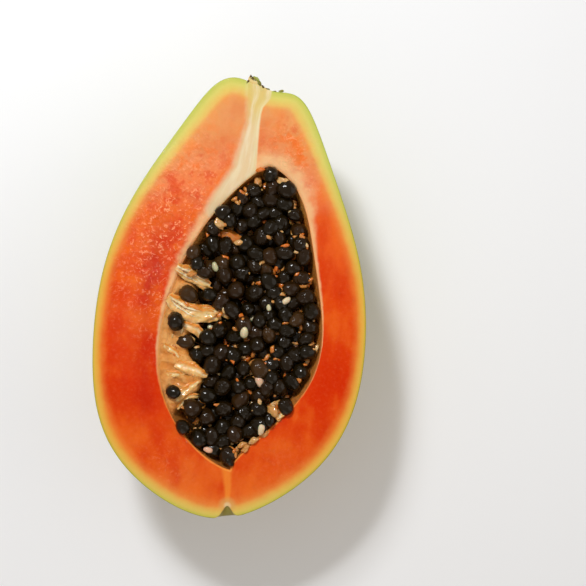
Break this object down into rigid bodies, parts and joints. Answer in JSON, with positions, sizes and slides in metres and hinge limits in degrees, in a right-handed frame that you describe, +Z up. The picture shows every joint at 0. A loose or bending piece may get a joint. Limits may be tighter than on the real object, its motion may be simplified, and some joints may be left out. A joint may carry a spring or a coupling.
{
  "type": "papaya half",
  "caption": "Ripe papaya half cut lengthwise, lying on its skin with the cut face up and dark seeds filling its open middle.",
  "frame": {"origin": "centre of the bounding box at its base, on the surface the half lies on", "axes": "+Z up, out of the cut face; +Y along the fruit towards the stem end; +X to the right seen from above with the stem end up"},
  "size_m": [0.112, 0.1824, 0.0574],
  "materials": {
    "flesh": "moist cut fruit flesh, orange-red with a yellow rim under a thin satin yellow-green skin",
    "seeds": "wet glossy black-brown seeds with cream membrane and orange pulp between them"
  },
  "bodies": {
    "root": {"fruit_half": "flesh", "seed_heap": "seeds"}
  },
  "joints": []
}
